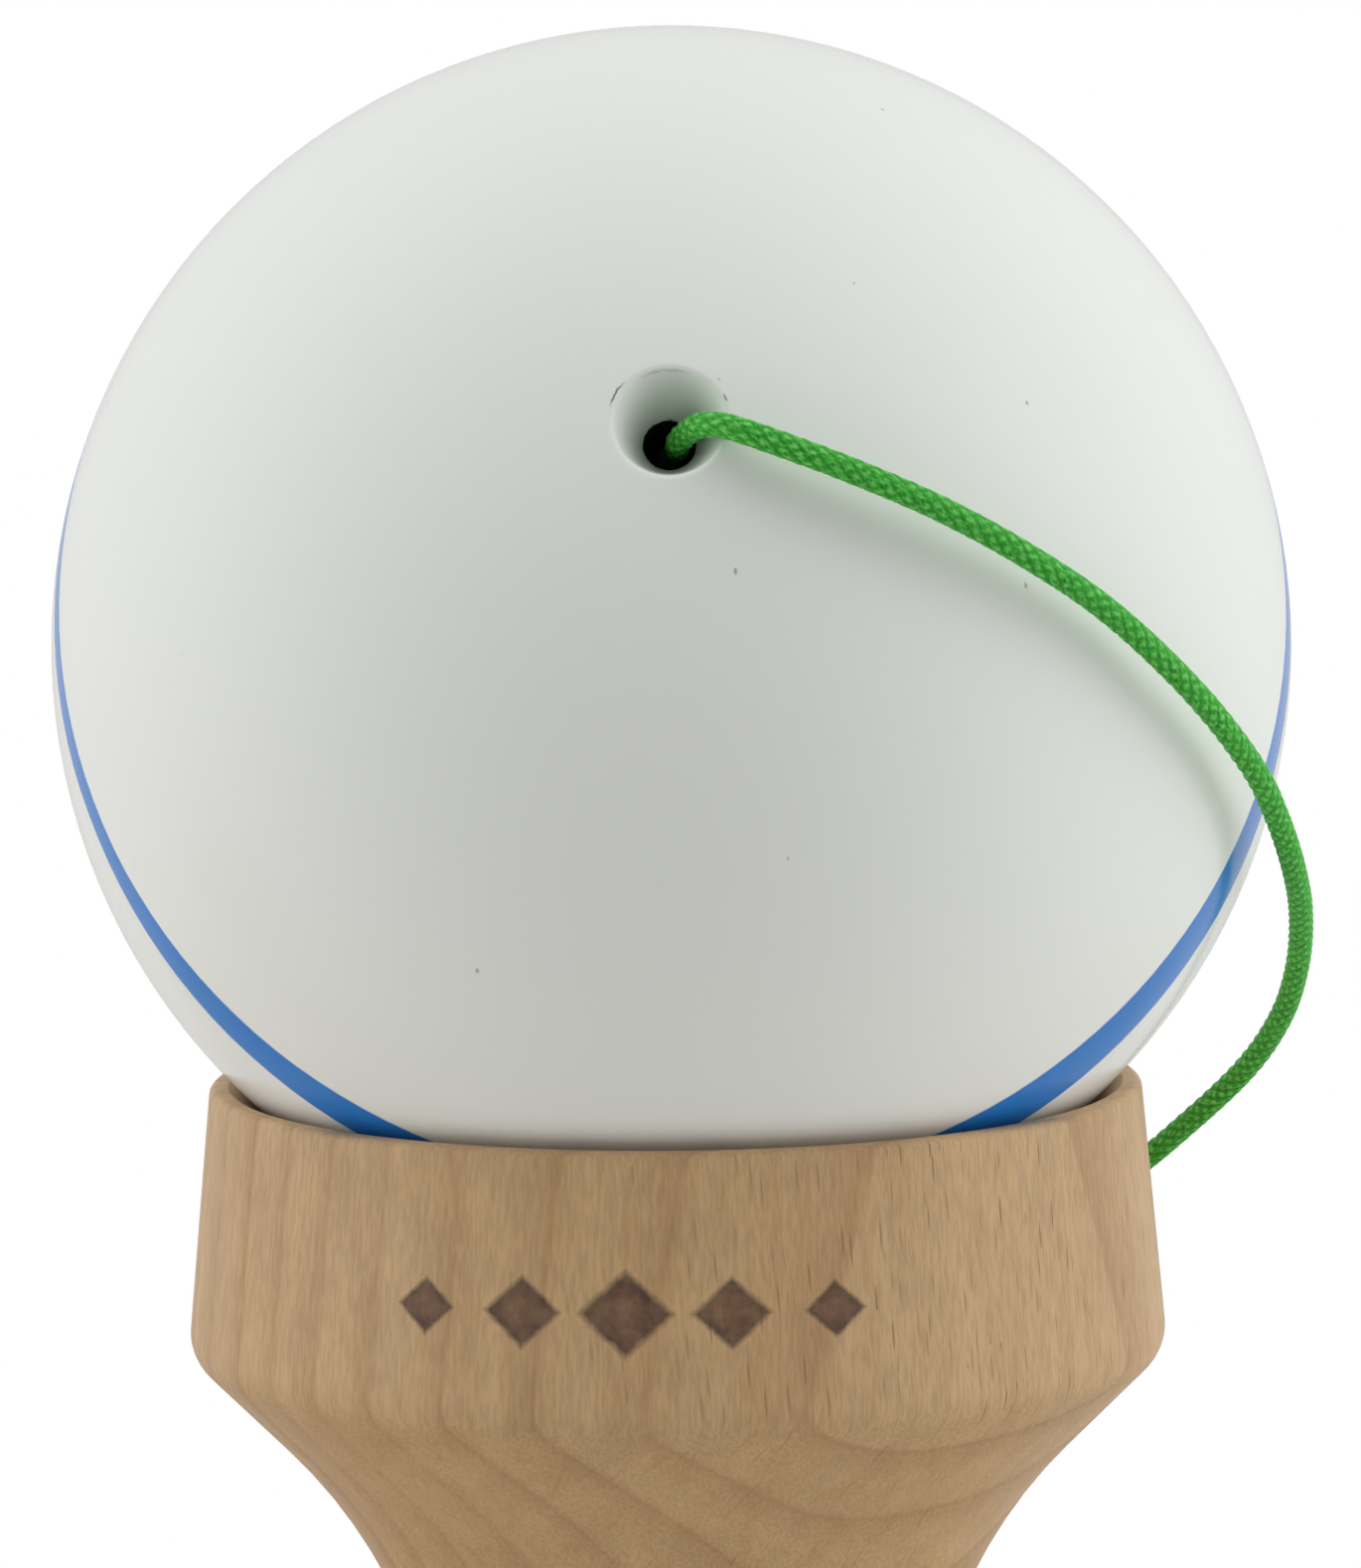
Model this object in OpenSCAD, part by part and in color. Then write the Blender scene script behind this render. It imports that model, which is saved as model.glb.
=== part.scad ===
// Cup and ball toy with a turned cross-piece: a painted ball on a string, two cups
// back to back on the cross-piece, a third cup on the handle's foot, and a spike.
// The toy stands on the small cup's rim with the ball lying in the big cup.
// Millimetres, +Z up. The origin is the middle of the small cup's rim.

/* [Ball] */
// Diameter of the ball
ball_d = 60; // [54:1:66]
// Upward tilt of the string hole as the ball lies in the cup, in degrees
ball_tilt = 25.5; // [15:0.5:35]
// Diameter of the hole that takes the spike
spike_hole_d = 21; // [19:0.5:23]
// Width of the bevel round the spike hole's mouth
spike_hole_bevel = 1.2; // [0.5:0.1:2]
// Diameter of the string hole
string_hole_d = 2.4; // [2:0.1:3]
// Length of the straight string hole
string_hole_length = 2.8; // [2:0.1:5]
// Diameter of the string hole's flared mouth
flare_d = 5.2; // [4:0.1:7]
// Depth of the flare below the ball's surface
flare_depth = 3; // [2:0.1:4]

/* [Bead in the ball] */
// Diameter of the bead that the string's knot bears on
bead_d = 8; // [7:0.5:9]
// Diameter of the hole through the bead
bead_hole_d = 1.6; // [1.5:0.1:2]
// Room round the bead in its chamber
bead_room = 0.8; // [0.5:0.1:1.5]

/* [Cross-piece] */
// Length of the cross-piece from rim to rim
cross_length = 70; // [66:0.5:76]
// Height of the handle's axis above the small rim
handle_height = 32; // [30:0.5:35]
// Diameter of the waist between the two cups
waist_d = 23.6; // [22:0.2:25]
// Diameter of the big cup at its rim
big_rim_d = 45.4; // [43:0.1:46]
// Diameter of the big cup where its band ends
big_band_d = 47.8; // [46:0.2:50]
// Height of the big cup's band
big_band_height = 12.9; // [10:0.1:14]
// Radius of the hollow sweep below the big cup
big_sweep = 26; // [20:0.5:28]
// Depth of the big cup's dish
big_dish_depth = 10.6; // [9.5:0.1:12]
// Diameter of the small cup at its rim
small_rim_d = 40; // [38:0.5:42]
// Diameter of the small cup where its band ends
small_band_d = 42; // [40:0.2:44]
// Height of the small cup's band
small_band_height = 10; // [8:0.1:12]
// Radius of the hollow sweep above the small cup
small_sweep = 22; // [18:0.5:24]
// Depth of the small cup's dish
small_dish_depth = 9.6; // [8:0.1:11]

/* [Rims] */
// Width of the flat on each rim
rim_flat = 0.9; // [0.5:0.1:1.2]
// Width of the bevel inside each rim
rim_bevel = 1.3; // [0.8:0.1:2]
// Depth of the bevel inside each rim
rim_bevel_depth = 0.95; // [0.5:0.05:1.5]
// Rounding of each cup's outer edge where the band ends
band_rounding = 2.2; // [1:0.1:3]

/* [Handle] */
// Distance from the cross-piece's axis to the base cup's rim
base_reach = 106; // [98:1:114]
// Distance from the cross-piece's axis to the spike's tip
spike_reach = 50; // [46:1:52]
// Diameter of the tapered seat at the cross-piece's axis
seat_d = 16.4; // [15:0.1:17]
// Narrowing of the seat's radius for each millimetre along it
seat_taper = 0.02; // [0.01:0.005:0.04]
// Diameter of the spike's tip
tip_d = 6.4; // [5:0.1:8]
// Rounding of the spike's tip
tip_rounding = 2.5; // [1:0.1:2.5]
// Diameter of the base cup at its rim
base_rim_d = 37; // [35:0.5:39]
// Diameter of the base cup where its band ends
base_band_d = 39; // [37:0.2:41]
// Height of the base cup's band
base_band_height = 8.5; // [7:0.1:10]
// Depth of the base cup's dish
base_dish_depth = 8; // [7:0.1:9]
// Diameter of the neck behind the base cup
neck_d = 16.4; // [15:0.2:18]
// Length of the neck before the grip swells
neck_length = 15; // [12:0.5:18]
// Diameter of the grip where it is thickest
grip_d = 21; // [19:0.2:23]
// Distance from the cross-piece's axis to the thickest part of the grip
grip_reach = 44; // [38:1:50]

/* [String] */
// Diameter of the string
string_d = 1.2; // [1:0.1:1.4]
// Diameter of the knots that stop the string
knot_d = 3.6; // [3:0.1:4]
// Step from one wrap of a knot to the next
knot_pitch = 1; // [0.8:0.1:1.2]
// Diameter of the string holes through the handle and the cross-piece
cross_hole_d = 2.2; // [1.8:0.1:3]
// Diameter of the pocket that hides the knot in the handle
pocket_d = 5.2; // [4.6:0.1:6]
// Depth of the pocket below the seat's surface
pocket_depth = 4.4; // [4:0.1:5]
// Loops in the coil of spare string
coil_loops = 3.75; // [2.75:1:5.75]
// Radius of the coil's innermost loop
coil_inner = 5; // [4.5:0.1:6]
// Step from one loop to the next across the coil
coil_step = 2; // [1.9:0.1:2.4]
// Rise from the coil's lower layer to its upper one
coil_rise = 1.7; // [1.7:0.1:2.2]
// Width of the band that ties the coil
tie_width = 1.6; // [1:0.1:2.5]
// Thickness of the band that ties the coil
tie_thickness = 0.35; // [0.2:0.05:0.6]
// Rounding of the band's corners
tie_rounding = 0.8; // [0.7:0.1:1.2]

/* [Fits] */
// Gap between the ball and the rim of the cup it lies in
ball_gap = 0.2; // [0.1:0.05:0.4]
// Gap between the bead and its seat in the ball
bead_gap = 0.3; // [0.2:0.05:0.5]
// Gap all round the handle in the cross-piece's tapered hole
seat_gap = 0.05; // [0.02:0.01:0.1]
// Gap between a knot and what it bears on
knot_gap = 0.1; // [0.05:0.05:0.3]
// Gap between the two lengths of string that meet in the ball
string_gap = 0.3; // [0.2:0.05:0.5]
// Gap between the tie and the coil
tie_gap = 0.15; // [0.1:0.05:0.4]

/* [Hidden] */
$fn = 96;
arc_step = 5;
over = 1;
drill_point = 31;
beech = "#c69f6a";
paint = "#e6e7e2";
birch = "#d8bd90";
green = "#3f963a";
band_colour = "#c9a46c";

// Sizes along the ball's own axis, counted from its centre towards the string hole
ball_r = ball_d / 2;
flare_end = sqrt(pow(ball_r, 2) - pow(flare_d / 2, 2));
flare_start = flare_end - flare_depth;
bead_seat_end = flare_start - string_hole_length;
chamber_r = bead_d / 2 + bead_room;
bead_seat_start = bead_seat_end - (chamber_r - string_hole_d / 2) * tan(drill_point);
bead_at = bead_seat_start + chamber_r * tan(drill_point) - (bead_d / 2 + bead_gap) / cos(drill_point);
knot_wraps = 3;
knot_core_r = (knot_d - string_d) / 2;
knot_length = (knot_wraps - 1) * knot_pitch + string_d;
ball_knot_top = bead_at - sqrt(pow(bead_d / 2, 2) - pow(bead_hole_d / 2, 2)) - knot_gap;
chamber_start = ball_knot_top - knot_length - bead_room;
spike_hole_r = spike_hole_d / 2;
spike_hole_end = chamber_start - (spike_hole_r - chamber_r) * tan(drill_point);
spike_mouth_r = spike_hole_r + spike_hole_bevel;
spike_mouth = -sqrt(pow(ball_r, 2) - pow(spike_mouth_r, 2));
spike_hole_start = spike_mouth + spike_hole_bevel;
string_meet_depth = 0.9;
string_meet = flare_start - string_meet_depth;

// Each cup's bevel meets its dish on a seat circle, where a ball lies
big_seat_r = big_rim_d / 2 - rim_flat - rim_bevel;
small_seat_r = small_rim_d / 2 - rim_flat - rim_bevel;
base_seat_r = base_rim_d / 2 - rim_flat - rim_bevel;
big_dish_floor = cross_length - big_dish_depth;
ball_on_seat = cross_length - rim_bevel_depth
    + sqrt(pow(ball_r + ball_gap, 2) - pow(big_seat_r, 2));
ball_z = max(ball_on_seat, big_dish_floor + ball_r + ball_gap);

// The cross-piece's outline: radius, height and rounding of each corner
waist_r = waist_d / 2;
big_band_z = cross_length - big_band_height;
edge_rounding = 0.4;
cross_outline = [
    [0, 0, 0],
    [small_rim_d / 2, 0, edge_rounding],
    [small_band_d / 2, small_band_height, band_rounding],
    [waist_r, small_band_height + small_band_d / 2 - waist_r, small_sweep],
    [waist_r, big_band_z - big_band_d / 2 + waist_r, big_sweep],
    [big_band_d / 2, big_band_z, band_rounding],
    [big_rim_d / 2, cross_length, edge_rounding],
    [0, cross_length, 0]];

// The handle's outline: radius, place along the handle and rounding of each corner
function seat_r(along) = seat_d / 2 - along * seat_taper;
neck_sweep = 12;
grip_sweep = 60;
grip_crown = 120;
base_band_x = -base_reach + base_band_height;
neck_x = base_band_x + base_band_d / 2 - neck_d / 2;
handle_outline = [
    [0, -base_reach, 0],
    [base_rim_d / 2, -base_reach, edge_rounding],
    [base_band_d / 2, base_band_x, band_rounding],
    [neck_d / 2, neck_x, neck_sweep],
    [neck_d / 2, neck_x + neck_length, grip_sweep],
    [grip_d / 2, -grip_reach, grip_crown],
    [seat_r(-waist_r - over), -waist_r - over, grip_sweep],
    [seat_r(waist_r + over), waist_r + over, 0],
    [tip_d / 2, spike_reach, tip_rounding],
    [0, spike_reach, 0]];
handle_knot_y = -seat_d / 2 + pocket_depth - knot_gap;

// The string's free stretches, from the ball down to the coil and from the coil up to the
// handle, as points chosen along the way that it lies
from_ball_route = [
    [0.36, -23.4, 102.56], [0.47, -24.29, 103.02], [0.85, -25.33, 103.47],
    [1.26, -26.44, 103.81], [1.63, -27.13, 103.94], [2.13, -27.69, 103.97],
    [2.77, -28.14, 103.88], [3.6, -28.49, 103.64], [5, -28.72, 103.15], [8, -28.75, 102],
    [12, -28.1, 100.2], [16, -26.7, 97.9], [20, -24.4, 95], [24, -21, 91], [27, -16.5, 87],
    [28.5, -12.5, 84], [29.6, -8, 81], [30.3, -3, 78.2], [30.5, 2, 75],
    [30, 6.5, 71.8], [28.4, 11, 68.4], [25, 16, 64.2], [20.5, 20.5, 59.5],
    [16.5, 24, 54], [14.5, 26.5, 47.5], [13.5, 28, 40], [14, 29, 32],
    [16, 29.3, 24], [19, 29.2, 16], [22.5, 28.5, 9], [26, 26.8, 4],
    [29.5, 24.2, 1.7], [32, 22.7, 1.2], [33.4, 22.25, 1.1], [34.8, 22.25, 1.1]];
to_handle_route = [
    [27.75, 15.2, 2.8], [27.75, 16.4, 2.7], [27.2, 19, 2], [25.4, 21.8, 1.1],
    [22, 24, 0.7], [17.5, 25.3, 0.7], [13, 25.6, 0.8], [9, 25.4, 2],
    [6, 25, 5.5], [4, 24.5, 10.5], [2.5, 23.8, 16], [1.2, 22.6, 21.5],
    [0.4, 20.6, 26.6], [0, 17.8, 30.3], [0, 15, 31.8], [0, 13.6, 32], [0, 12.4, 32]];
string_lead = 0.6;
cross_hole_meet = waist_r + string_lead;
tube_sides = 8;
tube_steps = 2;

// The coil of spare string lies beside the small cup, wound inwards on the floor,
// up a layer in half a turn, and outwards again
coil_at = [36, 14];
coil_lead = 1.2;
coil_sides = 6;
coil_rings = 24;
coil_climb = 0.5;
coil_in = (coil_loops - coil_climb) / 2;
coil_outer = coil_inner + coil_step * coil_in;
coil_low = tie_thickness + tie_gap + string_d / 2;
coil_start_angle = 90;

// Points of an arc that rounds one corner of an outline
function unit(v) = v / norm(v);
function rounded_corner(before, corner, after, rounding) =
    let (
        a = unit(before - corner),
        b = unit(after - corner),
        half = acos(a * b) / 2,
        centre = corner + unit(a + b) * rounding / sin(half),
        start = corner + a * rounding / tan(half) - centre,
        end = corner + b * rounding / tan(half) - centre,
        turn = 180 - 2 * half,
        steps = max(2, ceil(turn / arc_step)))
    [for (i = [0:steps])
        centre + (start * sin(turn * (1 - i / steps)) + end * sin(turn * i / steps)) / sin(turn)];

function place(corner) = [corner[0], corner[1]];

// An outline with each of its corners rounded by the corner's own radius
function turned(outline) =
    let (last = len(outline) - 1)
    [for (i = [0:last])
        each outline[i][2] == 0
            ? [place(outline[i])]
            : rounded_corner(
                place(outline[i - 1]), place(outline[i]), place(outline[i + 1]), outline[i][2])];

// A smooth curve through a route's points
function curve_point(a, b, c, d, t) =
    (2 * b + (c - a) * t + (2 * a - 5 * b + 4 * c - d) * pow(t, 2)
        + (3 * b - a - 3 * c + d) * pow(t, 3)) / 2;
function smooth_route(route, steps) =
    let (
        last = len(route) - 1,
        ends = concat([2 * route[0] - route[1]], route, [2 * route[last] - route[last - 1]]))
    concat(
        [for (i = [0:last - 1], k = [0:steps - 1])
            curve_point(ends[i], ends[i + 1], ends[i + 2], ends[i + 3], k / steps)],
        [route[last]]);

// A tube of even thickness along a list of points, its end rings square to its ends
function heading(path, i) =
    let (last = len(path) - 1)
    unit(path[min(i + 1, last)] - path[max(i - 1, 0)]);
function square_to(v, way) = unit(v - (v * way) * way);
function ring(centre, side, way, r, sides) =
    let (other = cross(way, side))
    [for (k = [0:sides - 1])
        centre + r * (side * cos(360 * k / sides) + other * sin(360 * k / sides))];

module tube(path, d, sides) {
    last = len(path) - 1;
    frames = [
        for (i = 0, side = square_to([0.3, 0.5, 0.8], heading(path, 0));
            i <= last;
            i = i + 1, side = square_to(side, heading(path, min(i, last))))
        side];
    points = [for (i = [0:last]) each ring(path[i], frames[i], heading(path, i), d / 2, sides)];
    wall = [
        for (i = [0:last - 1], k = [0:sides - 1])
            let (
                a = i * sides + k,
                b = i * sides + (k + 1) % sides,
                c = a + sides,
                e = b + sides)
            each [[a, c, b], [b, c, e]]];
    first_cap = [for (k = [1:sides - 2]) [0, k, k + 1]];
    last_cap = [for (k = [1:sides - 2]) [0, k + 1, k] + [1, 1, 1] * last * sides];
    polyhedron(points, concat(wall, first_cap, last_cap));
}

// The coil's centre line
function ease(t) = t * t * (3 - 2 * t);
function coil_radius(t) = coil_inner + coil_step * max(0, coil_in - t, t - coil_in - coil_climb);
function coil_height(t) =
    coil_low + coil_rise * ease(max(0, min(1, (t - coil_in) / coil_climb)));
function coil_point(t) =
    let (angle = coil_start_angle - 360 * t)
    [coil_at[0] + coil_radius(t) * cos(angle), coil_at[1] + coil_radius(t) * sin(angle),
        coil_height(t)];
coil_count = coil_loops * coil_rings;
coil_turns = [for (i = [0:coil_count]) coil_point(i / coil_rings)];
coil_path = concat(
    [coil_turns[0] - [coil_lead, 0, 0]], coil_turns, [coil_turns[coil_count] + [0, coil_lead, 0]]);

// The least gap between loops, measured between points at least half a loop apart
coil_gap = min([
    for (i = [0:coil_count - coil_rings / 2], k = [i + coil_rings / 2:coil_count])
        norm(coil_turns[i] - coil_turns[k])]) - string_d;
echo(coil_gap = coil_gap);

// The hollow of a cup whose rim lies on the floor of its own frame
module cup_hollow(seat_radius, dish_depth) {
    sag = dish_depth - rim_bevel_depth;
    dish_r = (pow(seat_radius, 2) + pow(sag, 2)) / (2 * sag);
    slope = rim_bevel / rim_bevel_depth;
    translate([0, 0, dish_depth - dish_r]) sphere(r = dish_r);
    translate([0, 0, -over])
        cylinder(
            h = rim_bevel_depth + over,
            r1 = seat_radius + slope * (rim_bevel_depth + over),
            r2 = seat_radius);
}

module at_handle() {
    translate([0, 0, handle_height]) children();
}

module along_handle() {
    at_handle() rotate([0, 90, 0]) children();
}

module along_ball() {
    translate([0, 0, ball_z]) rotate([90 - ball_tilt, 0, 0]) children();
}

// A stopper knot: three wraps of the string, below the plane that it bears on
module knot() {
    rotate_extrude() {
        translate([0, -knot_length]) square([knot_core_r, knot_length]);
        for (i = [0:knot_wraps - 1])
            translate([knot_core_r, -string_d / 2 - i * knot_pitch]) circle(d = string_d);
    }
}

// Turned beech handle: base cup, neck, grip, tapered seat and spike
module handle() {
    color(beech) difference() {
        along_handle() rotate_extrude() polygon(turned(handle_outline));
        along_handle() translate([0, 0, -base_reach]) cup_hollow(base_seat_r, base_dish_depth);
        at_handle() rotate([-90, 0, 0]) cylinder(h = seat_d, d = cross_hole_d);
        at_handle() rotate([90, 0, 0]) cylinder(h = seat_d / 2, d = cross_hole_d);
        at_handle() translate([0, -seat_d / 2 + pocket_depth, 0]) rotate([90, 0, 0])
            cylinder(h = seat_d, d = pocket_d);
    }
}

// Turned beech cross-piece: big cup on top, small cup below, tapered hole across its waist
module cross_cups() {
    hole_length = big_band_d;
    color(beech) difference() {
        rotate_extrude() polygon(turned(cross_outline));
        cup_hollow(small_seat_r, small_dish_depth);
        translate([0, 0, cross_length]) mirror([0, 0, 1]) cup_hollow(big_seat_r, big_dish_depth);
        along_handle() translate([0, 0, -hole_length / 2])
            cylinder(
                h = hole_length,
                r1 = seat_r(-hole_length / 2) + seat_gap,
                r2 = seat_r(hole_length / 2) + seat_gap);
        at_handle() rotate([-90, 0, 0]) cylinder(h = waist_d, d = cross_hole_d);
    }
}

// Painted beech ball, bored for the spike, the bead and the string
module ball() {
    bore = [
        [0, -ball_r - over],
        [spike_mouth_r + over, -ball_r - over],
        [spike_mouth_r + over, spike_mouth - over],
        [spike_hole_r, spike_hole_start],
        [spike_hole_r, spike_hole_end],
        [chamber_r, chamber_start],
        [chamber_r, bead_seat_start],
        [string_hole_d / 2, bead_seat_end],
        [string_hole_d / 2, flare_start],
        [flare_d / 2, flare_end],
        [flare_d / 2, ball_r + over],
        [0, ball_r + over]];
    color(paint) along_ball() difference() {
        sphere(r = ball_r);
        rotate_extrude() polygon(bore);
    }
}

// Wooden bead inside the ball, which lets the ball turn on its string
module bead() {
    color(birch) along_ball() translate([0, 0, bead_at]) difference() {
        sphere(d = bead_d);
        cylinder(h = bead_d + over, d = bead_hole_d, center = true);
    }
}

module ball_knot() {
    color(green) along_ball() translate([0, 0, ball_knot_top]) knot();
}

// The string from the ball's knot, through the bead, into the string hole
module string_in_ball() {
    color(green) along_ball() translate([0, 0, ball_knot_top])
        cylinder(h = string_meet - string_gap - ball_knot_top, d = string_d);
}

module string_from_ball() {
    color(green) tube(smooth_route(from_ball_route, tube_steps), string_d, tube_sides);
}

module string_coil() {
    color(green) tube(coil_path, string_d, coil_sides);
}

module rounded_square(width, height, rounding) {
    square([width - 2 * rounding, height], center = true);
    square([width, height - 2 * rounding], center = true);
    for (x = [-1, 1], y = [-1, 1])
        translate([x * (width / 2 - rounding), y * (height / 2 - rounding)]) circle(r = rounding);
}

// A rubber band round the coil's side
module coil_tie() {
    room_w = coil_outer - coil_inner + string_d + 2 * tie_gap;
    room_h = coil_rise + string_d + 2 * tie_gap;
    color(band_colour)
        translate([coil_at[0] + (coil_inner + coil_outer) / 2, coil_at[1] + tie_width / 2,
            coil_low + coil_rise / 2])
        rotate([90, 0, 0]) linear_extrude(tie_width) difference() {
            rounded_square(
                room_w + 2 * tie_thickness, room_h + 2 * tie_thickness, tie_rounding);
            rounded_square(room_w, room_h, tie_rounding - tie_thickness);
        }
}

module string_to_handle() {
    color(green) tube(smooth_route(to_handle_route, tube_steps), string_d, tube_sides);
}

// The string through the handle's and the cross-piece's holes
module string_in_handle() {
    color(green) at_handle() translate([0, handle_knot_y, 0]) rotate([-90, 0, 0])
        cylinder(h = cross_hole_meet - handle_knot_y, d = string_d);
}

module handle_knot() {
    color(green) at_handle() translate([0, handle_knot_y, 0]) rotate([-90, 0, 0]) knot();
}

handle();
cross_cups();
ball();
bead();
ball_knot();
string_in_ball();
string_from_ball();
string_coil();
coil_tie();
string_to_handle();
string_in_handle();
handle_knot();
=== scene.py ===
import math

import bpy
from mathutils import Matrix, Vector


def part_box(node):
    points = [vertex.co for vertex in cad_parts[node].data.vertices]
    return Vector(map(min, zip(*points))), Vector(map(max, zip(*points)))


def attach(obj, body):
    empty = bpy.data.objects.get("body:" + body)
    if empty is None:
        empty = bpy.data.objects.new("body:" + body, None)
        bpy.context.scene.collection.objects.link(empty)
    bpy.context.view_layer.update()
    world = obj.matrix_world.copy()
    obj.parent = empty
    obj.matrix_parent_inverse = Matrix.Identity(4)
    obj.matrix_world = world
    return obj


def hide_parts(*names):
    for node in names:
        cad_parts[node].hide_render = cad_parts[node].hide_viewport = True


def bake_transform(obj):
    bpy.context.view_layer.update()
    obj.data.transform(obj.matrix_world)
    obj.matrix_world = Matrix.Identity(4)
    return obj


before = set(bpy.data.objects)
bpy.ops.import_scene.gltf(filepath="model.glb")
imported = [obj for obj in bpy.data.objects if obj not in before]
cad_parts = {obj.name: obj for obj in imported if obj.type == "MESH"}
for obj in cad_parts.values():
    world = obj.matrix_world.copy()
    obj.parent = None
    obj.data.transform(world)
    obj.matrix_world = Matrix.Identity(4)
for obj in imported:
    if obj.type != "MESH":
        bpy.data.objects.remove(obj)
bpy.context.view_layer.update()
mm = 0.001

# Toy's own axes: the cross-piece stands along z, the handle lies along x,
# and the ball's holes lie along ballAxis
upAxis = Vector((0, 0, 1))
backAxis = Vector((0, 1, 0))
handleAxis = Vector((1, 0, 0))
handleMiddle = Vector((0, 0, 32 * mm))
ballTilt = 25.5         # degrees by which the string hole points up
ballAxis = Vector((0, -math.cos(math.radians(ballTilt)), math.sin(math.radians(ballTilt))))
ballMiddle = Vector((0, 0, 91.2263 * mm))


# Camera

cameraView = {
    "place": (0, -0.400, 0.13101),
    "down": 6.633,      # degrees below level
    "lean": 0.539,      # the photograph is a little off upright
    "aside": 0.117,     # and to the right
    "lens": 190.3,      # on 36 mm along the picture's long side
}
bpy.ops.object.select_all(action="DESELECT")
bpy.ops.object.camera_add(
    location=cameraView["place"],
    rotation=(math.radians(90 - cameraView["down"]), math.radians(cameraView["lean"]),
              -math.radians(cameraView["aside"])))
camera = bpy.context.active_object
camera.name = "photoCamera"
camera.data.sensor_width = 36
camera.data.lens = cameraView["lens"]
camera.data.clip_start = 0.01
bpy.context.scene.camera = camera
bpy.context.scene.view_settings.view_transform = "Standard"
print("camera set")


# Small helpers

def linearColour(hexCode):
    # sRGB hex to the linear colour that sockets take
    channels = [int(hexCode[i:i + 2], 16) / 255 for i in (1, 3, 5)]
    return [c / 12.92 if c <= 0.04045 else ((c + 0.055) / 1.055) ** 2.4 for c in channels] + [1]


def addNode(tree, kind, sockets=None, **settings):
    # sockets holds plain values, or another node's output to link
    made = tree.nodes.new("ShaderNode" + kind)
    for name, value in settings.items():
        setattr(made, name, value)
    for key, value in (sockets or {}).items():
        if isinstance(value, bpy.types.NodeSocket):
            tree.links.new(value, made.inputs[key])
        else:
            made.inputs[key].default_value = value
    return made


def setStops(ramp, stops):
    # stops hold a place from 0 to 1 and a linear colour, in order
    while len(ramp.elements) > 1:
        ramp.elements.remove(ramp.elements[-1])
    ramp.elements[0].position, ramp.elements[0].color = stops[0]
    for at, colour in stops[1:]:
        ramp.elements.new(at).color = colour


def newMaterial(name):
    material = bpy.data.materials.new(name)
    material.use_nodes = True
    material.node_tree.nodes.clear()
    return material, material.node_tree


def smoothRoute(points, steps):
    # Curve through every point, with the ends reflected to start and stop straight
    knots = [Vector(p) * mm for p in points]
    knots = [2 * knots[0] - knots[1]] + knots + [2 * knots[-1] - knots[-2]]
    route = []
    for a, b, c, d in zip(knots, knots[1:], knots[2:], knots[3:]):
        for k in range(steps):
            t = k / steps
            route.append(0.5 * (2 * b + (c - a) * t + (2 * a - 5 * b + 4 * c - d) * t ** 2
                                + (3 * b - a - 3 * c + d) * t ** 3))
    return route + [knots[-2]]


def evenSteps(route, spacing):
    # The same route in steps of one length, and that length
    total = sum((b - a).length for a, b in zip(route, route[1:]))
    count = max(2, round(total / spacing))
    wanted, walked, places = total / count, 0, [route[0]]
    for a, b in zip(route, route[1:]):
        span = (b - a).length
        while len(places) < count and walked + span >= wanted * len(places) - 1e-12:
            places.append(a.lerp(b, (wanted * len(places) - walked) / span))
        walked += span
    return places[:count] + [route[-1]], wanted


# String: polyester braided round, 1.2 mm thick, about 380 mm long

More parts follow.
